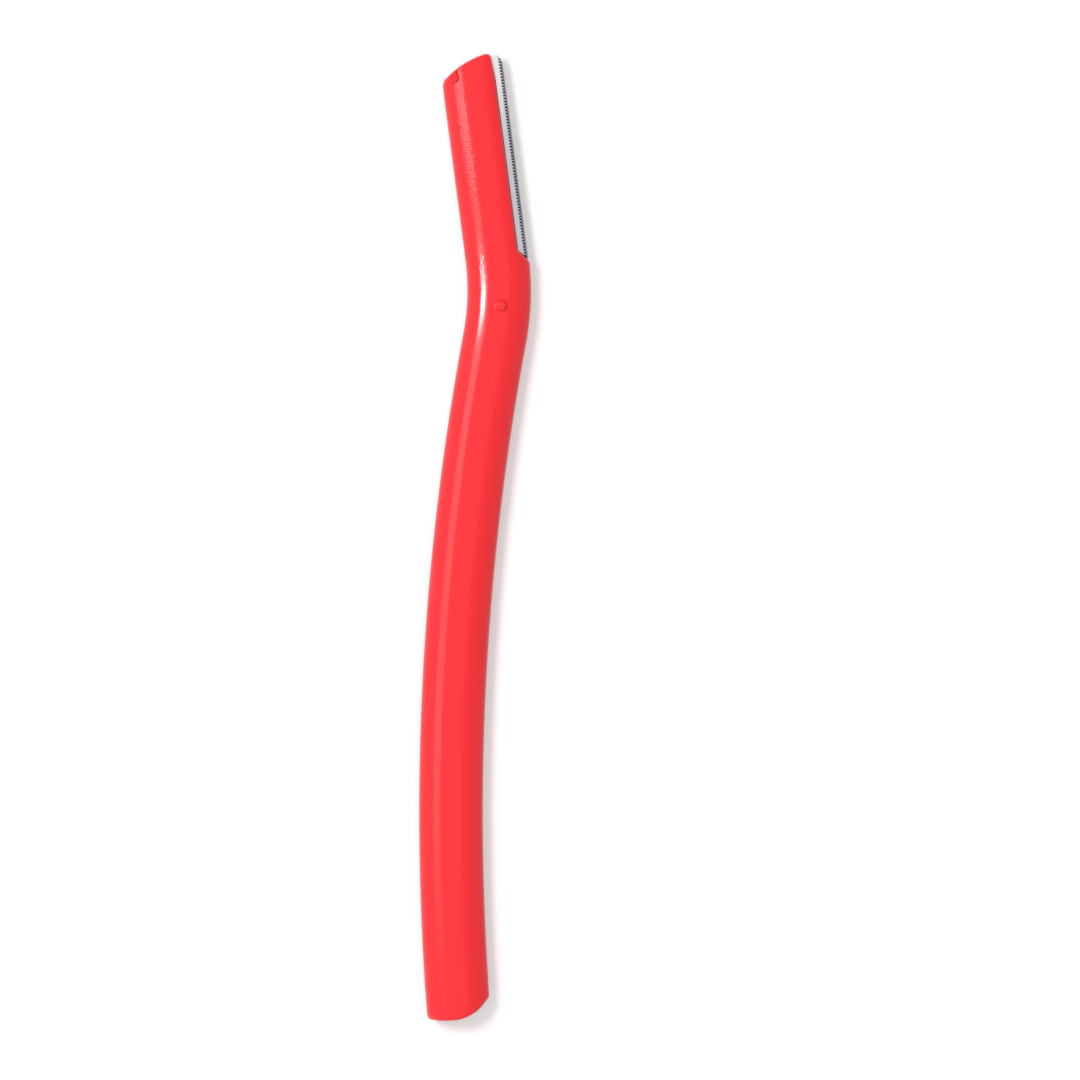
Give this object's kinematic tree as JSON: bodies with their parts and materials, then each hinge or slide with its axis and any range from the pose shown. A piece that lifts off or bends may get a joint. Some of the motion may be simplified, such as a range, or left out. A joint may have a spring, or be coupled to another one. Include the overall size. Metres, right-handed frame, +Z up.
{
  "type": "eyebrow razor",
  "caption": "Slim bent plastic handle of oval section with a narrow blade along one side of its head, covered by a folded sheet comb that guards the skin.",
  "frame": {"origin": "centre of the bounding box's bottom face, on the surface that the razor lies on", "axes": "+Y along the razor towards the blade end, +X towards the side with the cutting edge, +Z up out of the face with the nubs"},
  "size_m": [0.0176, 0.1524, 0.0069],
  "materials": {
    "handle": "moulded coral red ABS with a fine satin texture",
    "blade": "ground stainless steel",
    "guard": "rolled stainless sheet with fine scratches along it"
  },
  "bodies": {
    "root": {"handle": "handle", "blade": "blade", "guard": "guard"}
  },
  "joints": []
}
